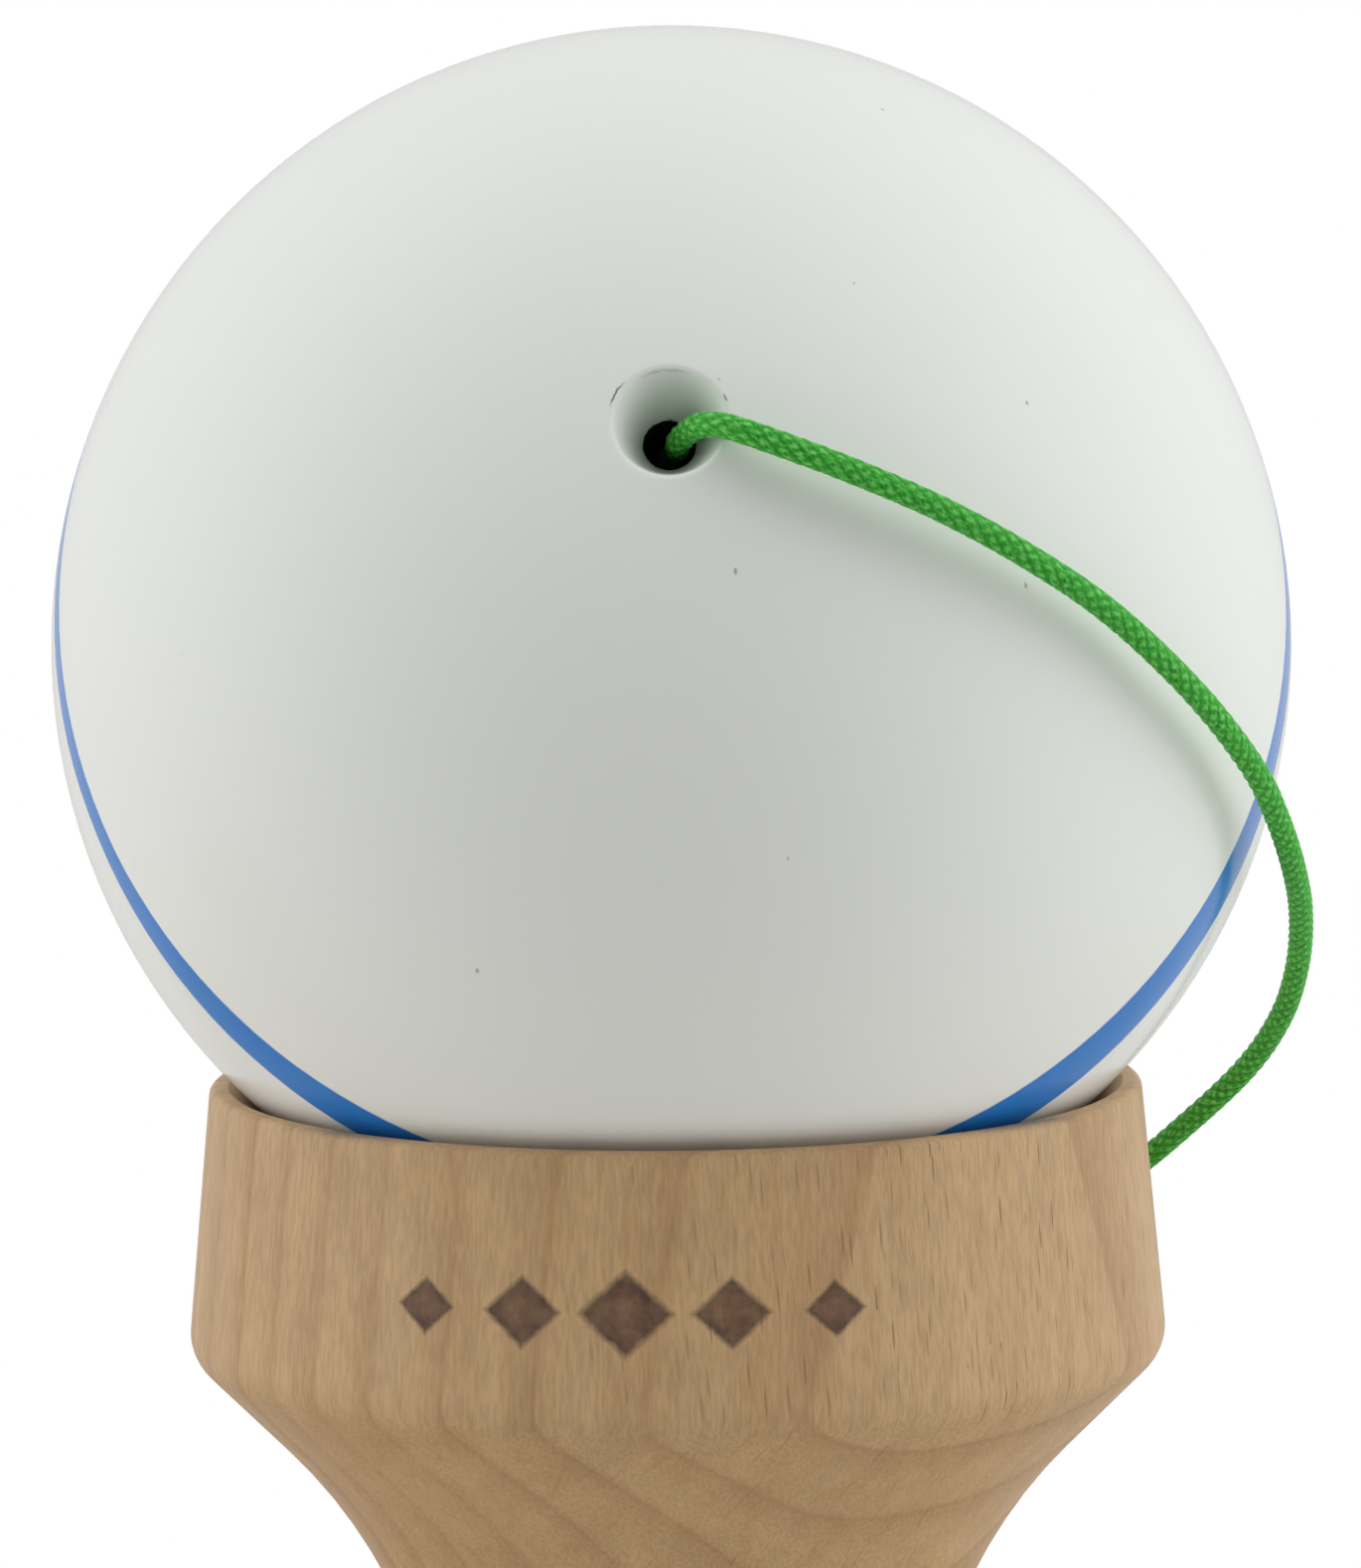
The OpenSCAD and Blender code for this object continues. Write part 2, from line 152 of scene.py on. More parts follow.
string = {
    "diameter": 1.2 * mm,
    "strands": 6,           # each way round
    "lay": 5.2 * mm,        # length in which a strand goes once round
    "relief": 0.085 * mm,   # how far a strand stands out of the grooves
    "tuck": 0.75,           # share of its height that a strand loses where it goes under
    "crown": 0.85,          # share of the relief that lies inside the diameter
    "sides": 24, "spacing": 0.15 * mm,
    "routeSteps": 8,        # from one point of the routes below to the next
    "inBall": (24, 24.8),   # mm from the ball's middle along ballAxis, where the bead's end turns against it
    "holeShade": (1.9, 2.9),     # mm from the start of a length, over which the painted shade of the hole gives out
    "fromBall": [
        (0.36, -23.4, 102.56), (0.47, -24.29, 103.02), (0.85, -25.33, 103.47), (1.26, -26.44, 103.81),
        (1.63, -27.13, 103.94), (2.13, -27.69, 103.97), (2.77, -28.14, 103.88), (3.6, -28.49, 103.64),
        (5, -28.72, 103.15), (8, -28.75, 102), (12, -28.1, 100.2), (16, -26.7, 97.9), (20, -24.4, 95),
        (24, -21, 91), (27, -16.5, 87), (28.5, -12.5, 84), (29.6, -8, 81), (30.3, -3, 78.2), (30.5, 2, 75),
        (30, 6.5, 71.8), (28.4, 11, 68.4), (25, 16, 64.2), (20.5, 20.5, 59.5), (16.5, 24, 54),
        (14.5, 26.5, 47.5), (13.5, 28, 40), (14, 29, 32), (16, 29.3, 24), (19, 29.2, 16), (22.5, 28.5, 9),
        (26, 26.8, 4), (29.5, 24.2, 1.7), (32, 22.7, 1.2), (33.4, 22.25, 1.1), (34.8, 22.25, 1.1)],
    # climb is the loops each side of the middle in which it rises to the second layer
    "coil": {"at": (36, 14), "loops": 3.75, "inner": 5, "step": 2, "turn": 24,
             "low": 1.1, "rise": 1.7, "climb": 0.25},
    "toHandle": [
        (27.75, 15.2, 2.8), (27.75, 16.4, 2.7), (27.2, 19, 2), (25.4, 21.8, 1.1), (22, 24, 0.7),
        (17.5, 25.3, 0.7), (13, 25.6, 0.8), (9, 25.4, 2), (6, 25, 5.5), (4, 24.5, 10.5), (2.5, 23.8, 16),
        (1.2, 22.6, 21.5), (0.4, 20.6, 26.6), (0, 17.8, 30.3), (0, 15, 31.8), (0, 13.6, 32), (0, 12.4, 32)],
}


def coilRoute(coil):
    # Half the turns wind inwards on the floor, the rest wind outwards on top of them
    middle, flat = coil["loops"] / 2, coil["climb"]
    route = []
    for k in range(int(coil["loops"] * coil["turn"]) + 1):
        t = k / coil["turn"]
        angle = math.radians(90 - 360 * t)
        radius = coil["inner"] + coil["step"] * max(0, middle - flat - t, t - middle - flat)
        climb = min(1, max(0, (t - middle + flat) / (2 * flat)))
        height = coil["low"] + coil["rise"] * climb * climb * (3 - 2 * climb)
        route.append(Vector((coil["at"][0] + radius * math.cos(angle),
                             coil["at"][1] + radius * math.sin(angle), height)) * mm)
    return route


def braidedTube(name, route, style):
    # Round braid: strands run both ways round, and each goes over one and under the next
    places, step = evenSteps(route, style["spacing"])
    sides, strands = style["sides"], style["strands"]
    ahead = (places[1] - places[0]).normalized()
    out = ahead.orthogonal().normalized()
    points, heights, count = [], [], len(places)
    for i, place in enumerate(places):
        ahead = (places[min(i + 1, count - 1)] - places[max(i - 1, 0)]).normalized()
        out = (out - ahead * out.dot(ahead)).normalized()
        side = ahead.cross(out)
        for k in range(sides):
            turn = k / sides
            right = strands * (turn - i * step / style["lay"])
            left = strands * (turn + i * step / style["lay"])
            rightOnTop = (math.floor(right) + math.floor(left)) % 2 == 0
            onTop, under = (right, left) if rightOnTop else (left, right)
            width, length = 2 * (onTop % 1) - 1, 2 * (under % 1) - 1
            height = (1 - width ** 2) * (1 - style["tuck"] * length ** 4)
            radius = style["diameter"] / 2 - style["relief"] * (style["crown"] - height)
            angle = math.tau * turn
            points.append(place + (out * math.cos(angle) + side * math.sin(angle)) * radius)
            heights.append(height)
    faces = []
    for here in range(0, (count - 1) * sides, sides):
        for k in range(sides):
            beside = (k + 1) % sides
            faces.append([here + k, here + beside, here + sides + beside, here + sides + k])
    faces += [list(range(sides))[::-1], [(count - 1) * sides + k for k in range(sides)]]
    mesh = bpy.data.meshes.new(name)
    mesh.from_pydata(points, [], faces)
    mesh.attributes.new("braidHeight", "FLOAT", "POINT").data.foreach_set("value", heights)
    braidUv = mesh.uv_layers.new(name="braidUv")
    for face in mesh.polygons:
        around = [v % sides for v in face.vertices]
        for corner, v, k in zip(face.loop_indices, face.vertices, around):
            seam = sides if len(around) == 4 and k == 0 and max(around) == sides - 1 else 0
            braidUv.data[corner].uv = ((k + seam) / sides, (v // sides) * step / mm)
        face.use_smooth = len(around) == 4
    tube = bpy.data.objects.new(name, mesh)
    bpy.context.scene.collection.objects.link(tube)
    return tube, places


def braidMaterial():
    # Dyed polyester yarn: crowns painted lighter and grooves darker by each strand's height, as painted
    # highlight and painted shade; filaments along each strand, a soft sheen
    material, tree = newMaterial("braidedPolyesterGreen")
    height = addNode(tree, "Attribute", attribute_name="braidHeight")
    uv = addNode(tree, "UVMap", uv_map="braidUv")
    # bundles of filaments 0.16 mm wide, as coarse as they need to be to show
    filaments = addNode(tree, "TexNoise", {
        "Vector": addNode(tree, "Mapping", {"Vector": uv.outputs[0], "Scale": (24, 2.6, 1)}).outputs[0],
        "Scale": 1, "Detail": 2, "Roughness": 0.6})
    # faded patches 1.3 mm wide and 3 mm long
    patches = addNode(tree, "TexNoise", {
        "Vector": addNode(tree, "Mapping", {"Vector": uv.outputs[0], "Scale": (3, 0.35, 1)}).outputs[0],
        "Scale": 1, "Detail": 1})
    # the strands' height lightens the crowns and darkens the grooves: painted highlight and painted shade
    weaveShadeAndHighlight = addNode(tree, "Math", {0: height.outputs["Fac"], 1: 0.5}, operation="MULTIPLY")
    depth = addNode(tree, "Math", {
        0: filaments.outputs[0], 1: 0.9, 2: weaveShadeAndHighlight.outputs[0]}, operation="MULTIPLY_ADD")
    shade = addNode(tree, "ValToRGB", {"Fac": depth.outputs[0]})
    setStops(shade.color_ramp, [(0.4, linearColour("#146F16")), (0.72, linearColour("#37A831")),
                                (1.0, linearColour("#84E274"))])
    worn = addNode(tree, "Math", {0: patches.outputs[0], 1: 0.4}, operation="MULTIPLY")
    faded = addNode(tree, "Mix", {
        0: worn.outputs[0], 6: shade.outputs[0], 7: linearColour("#4AB543")}, data_type="RGBA")
    # each length starts in a drilled hole, and its first millimetres are painted black, as shade inside the
    # hole
    holeShade = addNode(tree, "MapRange", {
        "Value": addNode(tree, "SeparateXYZ", {0: uv.outputs[0]}).outputs[1],
        "From Min": string["holeShade"][0], "From Max": string["holeShade"][1], "To Min": 0.93, "To Max": 0})
    shadedInHole = addNode(tree, "Mix", {
        0: holeShade.outputs[0], 6: faded.outputs[2], 7: linearColour("#0A1408")}, data_type="RGBA")
    bump = addNode(tree, "Bump", {
        "Height": filaments.outputs[0], "Strength": 0.5, "Distance": 0.04 * mm})
    surface = addNode(tree, "BsdfPrincipled", {
        "Base Color": shadedInHole.outputs[2], "Normal": bump.outputs[0], "Roughness": 0.6, "Sheen Weight": 0.03,
        "Sheen Roughness": 0.4, "Specular IOR Level": 0.2})
    addNode(tree, "OutputMaterial", {"Surface": surface.outputs[0]})
    return material


stringGreen = braidMaterial()
cordStart = [(ballMiddle + ballAxis * along * mm) / mm for along in string["inBall"]]
cordRoute = smoothRoute(cordStart + string["fromBall"], string["routeSteps"])[:-1]
cordRoute += coilRoute(string["coil"])
cordRoute += smoothRoute(string["toHandle"], string["routeSteps"])
cord, cordPlaces = braidedTube("stringCord", cordRoute, string)
cord.data.materials.append(stringGreen)
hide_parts("string_from_ball", "string_coil", "string_to_handle")
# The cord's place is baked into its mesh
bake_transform(cord)


# Knots: the string's own ends, wrapped three times round themselves

knot = {
    "wraps": 3, "pitch": 1.05, "radius": 1.2,   # mm
    "short": 0.1,           # mm by which the string's straight length stops short of the wraps' length
    "dip": 0.35,            # mm below its end at which the wraps start
    "points": 24,           # in a wrap
    "opening": 8,           # points in which the first wrap opens
    "leadSteps": 12,        # from one point of a lead to the next
    # tops and leads, in mm from the ball's middle along ballAxis and from the handle's along backAxis
    "ballTop": 15.172, "ballLead": (string["inBall"][0], 20, 16),
    "handleTop": -4.5, "handleLead": (12.2,),
}


def knotRoute(top, axis, lead):
    # In through the lead's points, straight down, then up in wraps about itself; axis points out of the hole
    across = axis.orthogonal().normalized()
    aside = axis.cross(across)
    length = knot["wraps"] * knot["pitch"] * mm
    bottom = top - axis * (length - knot["short"] * mm)
    route = smoothRoute([p / mm for p in lead + [bottom]], knot["leadSteps"])
    for k in range(1, knot["wraps"] * knot["points"] + 1):
        turn = k / knot["points"]
        reach = knot["radius"] * mm * min(1, k / knot["opening"])
        angle = math.tau * turn
        route.append(bottom + axis * (turn * knot["pitch"] - knot["dip"]) * mm
                     + (across * math.cos(angle) + aside * math.sin(angle)) * reach)
    return route


ballKnotTop = ballMiddle + ballAxis * knot["ballTop"] * mm
ballLead = [ballMiddle + ballAxis * along * mm for along in knot["ballLead"]]
ballEnd = braidedTube("stringEndInBall", knotRoute(ballKnotTop, ballAxis, ballLead), string)[0]
ballEnd.data.materials.append(stringGreen)
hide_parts("ball_knot", "string_in_ball")
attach(ballEnd, "bead")

handleKnotTop = handleMiddle + backAxis * knot["handleTop"] * mm
handleLead = [handleMiddle + backAxis * along * mm for along in knot["handleLead"]]
handleEnd = braidedTube("stringEndInHandle", knotRoute(handleKnotTop, backAxis, handleLead), string)[0]
handleEnd.data.materials.append(stringGreen)
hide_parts("handle_knot", "string_in_handle")
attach(handleEnd, "root")
print("knots made")


# Turning: an outline is traced point by point and spun about its axis

def roundCorners(corners, steps=12):
    # corners hold radius, place along the axis, and rounding, in mm
    outline = []
    for i, (radius, along, rounding) in enumerate(corners):
        here = Vector((radius, along))
        if rounding == 0:
            outline.append(here)
            continue
        toLast = (Vector(corners[i - 1][:2]) - here).normalized()
        toNext = (Vector(corners[i + 1][:2]) - here).normalized()
        half = toLast.angle(toNext) / 2
        middle = here + (toLast + toNext).normalized() * rounding / math.sin(half)
        start = here + toLast * rounding / math.tan(half) - middle
        end = here + toNext * rounding / math.tan(half) - middle
        sweep = start.angle(end)
        for k in range(steps + 1):
            t = k / steps
            outline.append(middle + (start * math.sin((1 - t) * sweep) + end * math.sin(t * sweep))
                           / math.sin(sweep))
    return outline


def dish(seatRadius, seatAlong, floorAlong, steps=20):
    # Round hollow from its floor on the axis out to the seat circle
    depth = floorAlong - seatAlong
    sphere = (seatRadius ** 2 + depth ** 2) / (2 * depth)
    widest = math.asin(seatRadius / abs(sphere))
    return [Vector((abs(sphere) * math.sin(widest * k / steps),
                    floorAlong - sphere * (1 - math.cos(widest * k / steps)))) for k in range(steps + 1)]


def turnOnLathe(name, outline, middle, axis, across, steps=144):
    bpy.ops.object.select_all(action="DESELECT")
    bpy.ops.mesh.primitive_plane_add(size=mm)
    piece = bpy.context.active_object
    piece.name = piece.data.name = name
    places = [middle + axis * along * mm + across * radius * mm for radius, along in outline]
    bpy.ops.object.mode_set(mode="EDIT")
    bpy.ops.mesh.merge(type="CENTER")
    bpy.ops.transform.translate(value=places[0])
    for last, here in zip(places, places[1:]):
        bpy.ops.mesh.extrude_region_move(TRANSFORM_OT_translate={"value": here - last})
    bpy.ops.mesh.select_all(action="SELECT")
    bpy.ops.mesh.spin(steps=steps, angle=math.tau, center=middle, axis=axis)
    bpy.ops.mesh.select_all(action="SELECT")
    bpy.ops.mesh.remove_doubles(threshold=0.002 * mm)
    bpy.ops.mesh.normals_make_consistent(inside=False)
    bpy.ops.object.mode_set(mode="OBJECT")
    return piece


def drill(piece, start, end, radius, endRadius=None):
    # Bored with a straight or tapered bit
    along = end - start
    bpy.ops.object.select_all(action="DESELECT")
    bpy.ops.mesh.primitive_cone_add(
        vertices=96, radius1=radius, radius2=radius if endRadius is None else endRadius, depth=along.length,
        location=(start + end) / 2, rotation=along.to_track_quat("Z", "Y").to_euler())
    bit = bpy.context.active_object
    bpy.context.view_layer.objects.active = piece
    hole = piece.modifiers.new("hole", "BOOLEAN")
    hole.operation, hole.solver, hole.object = "DIFFERENCE", "EXACT", bit
    bpy.ops.object.modifier_apply(modifier=hole.name)
    bpy.data.objects.remove(bit)


def smoothOff(piece, degrees=32):
    bpy.ops.object.select_all(action="DESELECT")
    piece.select_set(True)
    bpy.context.view_layer.objects.active = piece
    bpy.ops.object.shade_smooth_by_angle(angle=math.radians(degrees))


# Beech

beech = {
    "ringWidth": 3.6,       # mm from one year's ring to the next
    "pith": 95,             # mm from the piece's middle to the middle of the tree
    "fleck": (0.7, 2.4, 7),  # room for one ray fleck: across, along the grain, inwards
    "pale": "#CFAE83", "warm": "#C0996A", "late": "#A37B50", "ray": "#845A37",
}


def beechMaterial(name, turn, burn=None):
    # European beech, turned and sanded, thin oil: faint rings, fine pores, short brown ray flecks.
    # turn brings the piece to the tree's axes: x outwards, y along a ring, z with the grain
    material, tree = newMaterial(name)
    place = addNode(tree, "TexCoord").outputs["Object"]
    wood = addNode(tree, "Mapping", {
        "Vector": place, "Rotation": [math.radians(a) for a in turn], "Scale": (1000, 1000, 1000)})
    # rings sway by up to 4 mm, over 20 mm across the grain and 70 mm along it
    sway = addNode(tree, "TexNoise", {
        "Vector": addNode(tree, "Mapping", {
            "Vector": wood.outputs[0], "Scale": (0.05, 0.05, 0.014)}).outputs[0],
        "Scale": 1, "Detail": 1})
    fromPith = addNode(tree, "VectorMath", {
        0: addNode(tree, "VectorMath", {
            0: wood.outputs[0], 1: (1, 1, 0.02)}, operation="MULTIPLY").outputs[0],
        1: (beech["pith"], 0, 0)}, operation="ADD")
    rings = addNode(tree, "VectorMath", {0: fromPith.outputs[0]}, operation="LENGTH")
    rings = addNode(tree, "Math", {
        0: sway.outputs[0], 1: 4.0, 2: rings.outputs["Value"]}, operation="MULTIPLY_ADD")
    year = addNode(tree, "Math", {0: rings.outputs[0], 1: 1 / beech["ringWidth"]}, operation="MULTIPLY")
    season = addNode(tree, "Math", {0: year.outputs[0]}, operation="FRACT")
    yearly = addNode(tree, "Math", {0: year.outputs[0]}, operation="FLOOR")
    yearly = addNode(tree, "TexWhiteNoise", {"W": yearly.outputs[0]}, noise_dimensions="1D")
    ringShade = addNode(tree, "ValToRGB", {"Fac": season.outputs[0]})
    setStops(ringShade.color_ramp, [(at, (dark, dark, dark, 1)) for at, dark in (
        (0, 0.45), (0.1, 0.05), (0.55, 0.12), (0.9, 0.7), (0.96, 1), (1, 0.6))])
    yearShare = addNode(tree, "Math", {0: yearly.outputs[0], 1: 0.46, 2: 0.24}, operation="MULTIPLY_ADD")
    lateWood = addNode(tree, "Math", {
        0: ringShade.outputs[0], 1: yearShare.outputs[0]}, operation="MULTIPLY")
    # pores 0.06 mm wide, drawn at 0.16 mm so that they show
    pores = addNode(tree, "TexNoise", {
        "Vector": addNode(tree, "Mapping", {"Vector": wood.outputs[0], "Scale": (6, 6, 0.55)}).outputs[0],
        "Scale": 1, "Detail": 3, "Roughness": 0.65})
    # streaks of warmer wood, 1 mm wide and 22 mm long
    streaks = addNode(tree, "TexNoise", {
        "Vector": addNode(tree, "Mapping", {
            "Vector": wood.outputs[0], "Scale": (0.9, 0.9, 0.045)}).outputs[0],
        "Scale": 1, "Detail": 2})
    # each ray is a thin lens round a random point
    across, along, inwards = beech["fleck"]
    raySpace = addNode(tree, "Mapping", {
        "Vector": wood.outputs[0], "Scale": (1 / inwards, 1 / across, 1 / along)})
    rays = addNode(tree, "TexVoronoi", {"Vector": raySpace.outputs[0], "Scale": 1, "Randomness": 1})
    fromRay = addNode(tree, "VectorMath", {0: raySpace.outputs[0], 1: rays.outputs["Position"]},
                      operation="SUBTRACT")
    lens = addNode(tree, "VectorMath", {0: fromRay.outputs[0], 1: (1.0, 11, 2.6)}, operation="MULTIPLY")
    lens = addNode(tree, "VectorMath", {0: lens.outputs[0]}, operation="LENGTH")
    ray = addNode(tree, "MapRange", {
        "Value": lens.outputs["Value"], "From Min": 0.55, "From Max": 1.0, "To Min": 1, "To Max": 0})
    kept = addNode(tree, "MapRange", {
        "Value": addNode(tree, "SeparateColor", {0: rays.outputs["Color"]}).outputs[0],
        "From Min": 0.35, "From Max": 0.95, "To Min": 0, "To Max": 0.8})
    ray = addNode(tree, "Math", {0: ray.outputs[0], 1: kept.outputs[0]}, operation="MULTIPLY")
    # rays show as flecks only where the surface lies along the rings
    facing = addNode(tree, "VectorMath", {
        0: addNode(tree, "Mapping", {
            "Vector": addNode(tree, "TexCoord").outputs["Normal"],
            "Rotation": [math.radians(a) for a in turn]}, vector_type="NORMAL").outputs[0],
        1: (1, 0, 0)}, operation="DOT_PRODUCT")
    facing = addNode(tree, "Math", {0: facing.outputs["Value"], 1: 2}, operation="POWER")
    ray = addNode(tree, "Math", {0: ray.outputs[0], 1: facing.outputs[0]}, operation="MULTIPLY")

    colour = addNode(tree, "Mix", {
        0: streaks.outputs[0], 6: linearColour(beech["pale"]), 7: linearColour(beech["warm"])},
        data_type="RGBA")
    colour = addNode(tree, "Mix", {
        0: lateWood.outputs[0], 6: colour.outputs[2], 7: linearColour(beech["late"])}, data_type="RGBA")
    poreShade = addNode(tree, "MapRange", {
        "Value": pores.outputs[0], "From Min": 0.38, "From Max": 0.62, "To Min": 0.88, "To Max": 1.07})
    # cloudy patches 2 to 4 mm across
    mottle = addNode(tree, "TexNoise", {
        "Vector": addNode(tree, "Mapping", {
            "Vector": wood.outputs[0], "Scale": (0.42, 0.42, 0.2)}).outputs[0],
        "Scale": 1, "Detail": 3, "Roughness": 0.6})
    mottleShade = addNode(tree, "MapRange", {
        "Value": mottle.outputs[0], "From Min": 0.3, "From Max": 0.7, "To Min": 0.93, "To Max": 1.06})
    shade = addNode(tree, "Math", {0: poreShade.outputs[0], 1: mottleShade.outputs[0]}, operation="MULTIPLY")
    colour = addNode(tree, "Mix", {
        0: 1.0, 6: colour.outputs[2], 7: shade.outputs[0]}, data_type="RGBA", blend_type="MULTIPLY")
    colour = addNode(tree, "Mix", {
        0: ray.outputs[0], 6: colour.outputs[2], 7: linearColour(beech["ray"])}, data_type="RGBA")
    height = addNode(tree, "Math", {
        0: ray.outputs[0], 1: -0.5, 2: pores.outputs[0]}, operation="MULTIPLY_ADD").outputs[0]
    baseColour = colour.outputs[2]
    if burn:
        mark, char = burnMark(tree, place, burn)
        baseColour = addNode(tree, "Mix", {0: mark, 6: baseColour, 7: char}, data_type="RGBA").outputs[2]
        height = addNode(tree, "Math", {0: mark, 1: -2.5, 2: height}, operation="MULTIPLY_ADD").outputs[0]
    bump = addNode(tree, "Bump", {"Height": height, "Strength": 0.35, "Distance": 0.06 * mm})
    sheen = addNode(tree, "MapRange", {
        "Value": pores.outputs[0], "From Min": 0.3, "From Max": 0.7, "To Min": 0.62, "To Max": 0.5})
    surface = addNode(tree, "BsdfPrincipled", {
        "Base Color": baseColour, "Roughness": sheen.outputs[0], "Normal": bump.outputs[0],
        "Specular IOR Level": 0.45, "Sheen Weight": 0.1, "Sheen Roughness": 0.45})
    addNode(tree, "OutputMaterial", {"Surface": surface.outputs[0]})
    return material


def burnMark(tree, place, burn):
    # Row of lozenges burnt into the band, each smaller than its neighbour nearer the middle
    parts = addNode(tree, "SeparateXYZ", {0: place})
    back = addNode(tree, "Math", {0: parts.outputs[1], 1: -1}, operation="MULTIPLY")
    turn = addNode(tree, "Math", {0: parts.outputs[0], 1: back.outputs[0]}, operation="ARCTAN2")
    wobble = addNode(tree, "TexNoise", {"Vector": place, "Scale": 2600, "Detail": 2})     # 0.4 mm grains
    aside = addNode(tree, "Math", {
        0: turn.outputs[0], 1: burn["bandRadius"] / burn["pitch"], 2: -burn["aside"] / burn["pitch"]},
        operation="MULTIPLY_ADD")
    nearest = addNode(tree, "Math", {0: aside.outputs[0]}, operation="ROUND")
    order = addNode(tree, "Math", {0: nearest.outputs[0]}, operation="ABSOLUTE")
    offset = addNode(tree, "Math", {0: aside.outputs[0], 1: nearest.outputs[0]}, operation="SUBTRACT")
    offset = addNode(tree, "Math", {0: offset.outputs[0]}, operation="ABSOLUTE")
    offset = addNode(tree, "Math", {
        0: offset.outputs[0], 1: burn["pitch"] / burn["halfWidth"]}, operation="MULTIPLY")
    above = addNode(tree, "Math", {
        0: parts.outputs[2], 1: 1 / mm / burn["halfHeight"], 2: -burn["height"] / burn["halfHeight"]},
        operation="MULTIPLY_ADD")
    above = addNode(tree, "Math", {0: above.outputs[0]}, operation="ABSOLUTE")
    reach = addNode(tree, "Math", {0: offset.outputs[0], 1: above.outputs[0]}, operation="ADD")
    size = addNode(tree, "Math", {0: order.outputs[0], 1: -burn["shrink"], 2: 1}, operation="MULTIPLY_ADD")
    reach = addNode(tree, "Math", {0: reach.outputs[0], 1: size.outputs[0]}, operation="DIVIDE")
    reach = addNode(tree, "Math", {
        0: wobble.outputs[0], 1: 0.16, 2: reach.outputs[0]}, operation="MULTIPLY_ADD")
    mark = addNode(tree, "MapRange", {
        "Value": reach.outputs[0], "From Min": 0.94, "From Max": 1.16, "To Min": 1, "To Max": 0})
    inRow = addNode(tree, "Math", {0: order.outputs[0], 1: burn["eachSide"] + 0.5}, operation="LESS_THAN")
    inFront = addNode(tree, "Math", {0: parts.outputs[1], 1: 0}, operation="LESS_THAN")
    fromAxis = addNode(tree, "CombineXYZ", {0: parts.outputs[0], 1: parts.outputs[1]})
    fromAxis = addNode(tree, "VectorMath", {0: fromAxis.outputs[0]}, operation="LENGTH")
    outside = addNode(tree, "Math", {       # the dish inside the cup stays clear
        0: fromAxis.outputs["Value"], 1: (burn["bandRadius"] - burn["skin"]) * mm}, operation="GREATER_THAN")
    for limit in (inRow, inFront, outside):
        mark = addNode(tree, "Math", {0: mark.outputs[0], 1: limit.outputs[0]}, operation="MULTIPLY")
    # burnt unevenly, in patches 1.1 mm across, and darkest along the rim
    patchy = addNode(tree, "TexNoise", {"Vector": place, "Scale": 900, "Detail": 3, "Roughness": 0.65})
    depth = addNode(tree, "MapRange", {
        "Value": patchy.outputs[0], "From Min": 0.35, "From Max": 0.65, "To Min": 0.76, "To Max": 0.97})
    mark = addNode(tree, "Math", {0: mark.outputs[0], 1: depth.outputs[0]}, operation="MULTIPLY")
    rim = addNode(tree, "MapRange", {
        "Value": reach.outputs[0], "From Min": 0.45, "From Max": 1.0, "To Min": 0, "To Max": 1})
    char = addNode(tree, "Mix", {
        0: rim.outputs[0], 6: linearColour("#5E3B29"), 7: linearColour("#371F14")}, data_type="RGBA")
    return mark.outputs[0], char.outputs[2]


# Cross-piece: small cup below, big cup on top

crossPiece = {
    "corners": [(20, 0, 0.4), (21, 10, 2.2), (11.8, 19.2, 22),
                (11.8, 45, 26), (23.9, 57.1, 2.2), (22.7, 70, 0.4)],
    "flat": 0.9, "rimEdge": 0.15,
    "handleHole": (8.67, 7.87), "stringHole": 1.1,      # radii
    "holeReach": 20,            # how far the bits go
    "smallSeat": (17.8, 0.95), "smallFloor": 9.6,
    "bigSeat": (20.5, 69.05), "bigFloor": 59.4,
    "grainTurn": (0, 0, 47),    # the rings' outer side faces right of the camera
    "burn": {"bandRadius": 23.3, "height": 62.6, "aside": -2.4, "pitch": 4.9, "halfWidth": 2.25,
             "halfHeight": 2.05, "shrink": 0.17, "eachSide": 2, "skin": 1.5},
}
corners = crossPiece["corners"]
smallSeat, bigSeat = crossPiece["smallSeat"], crossPiece["bigSeat"]
smallRim = (corners[0][0] - crossPiece["flat"], corners[0][1], crossPiece["rimEdge"])
bigRim = (corners[-1][0] - crossPiece["flat"], corners[-1][1], crossPiece["rimEdge"])
crossOutline = dish(*smallSeat, crossPiece["smallFloor"])
crossOutline += roundCorners([(*smallSeat, 0), smallRim] + corners + [bigRim, (*bigSeat, 0)])[1:]
crossOutline += dish(*bigSeat, crossPiece["bigFloor"])[::-1][1:]
cross = turnOnLathe("crossPiece", crossOutline, Vector((0, 0, 0)), upAxis, handleAxis)
bitReach = crossPiece["holeReach"] * mm
drill(cross, handleMiddle - handleAxis * bitReach, handleMiddle + handleAxis * bitReach,
      *(radius * mm for radius in crossPiece["handleHole"]))
drill(cross, handleMiddle, handleMiddle + backAxis * bitReach, crossPiece["stringHole"] * mm)
smoothOff(cross)
cross.data.materials.clear()
cross.data.materials.append(beechMaterial("turnedBeechCross", crossPiece["grainTurn"], crossPiece["burn"]))
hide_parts("cross_cups")
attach(cross, "root")
print("cross-piece turned:", len(cross.data.polygons), "faces")


# Handle: base cup, neck, grip, tapered seat in the cross-piece, spike

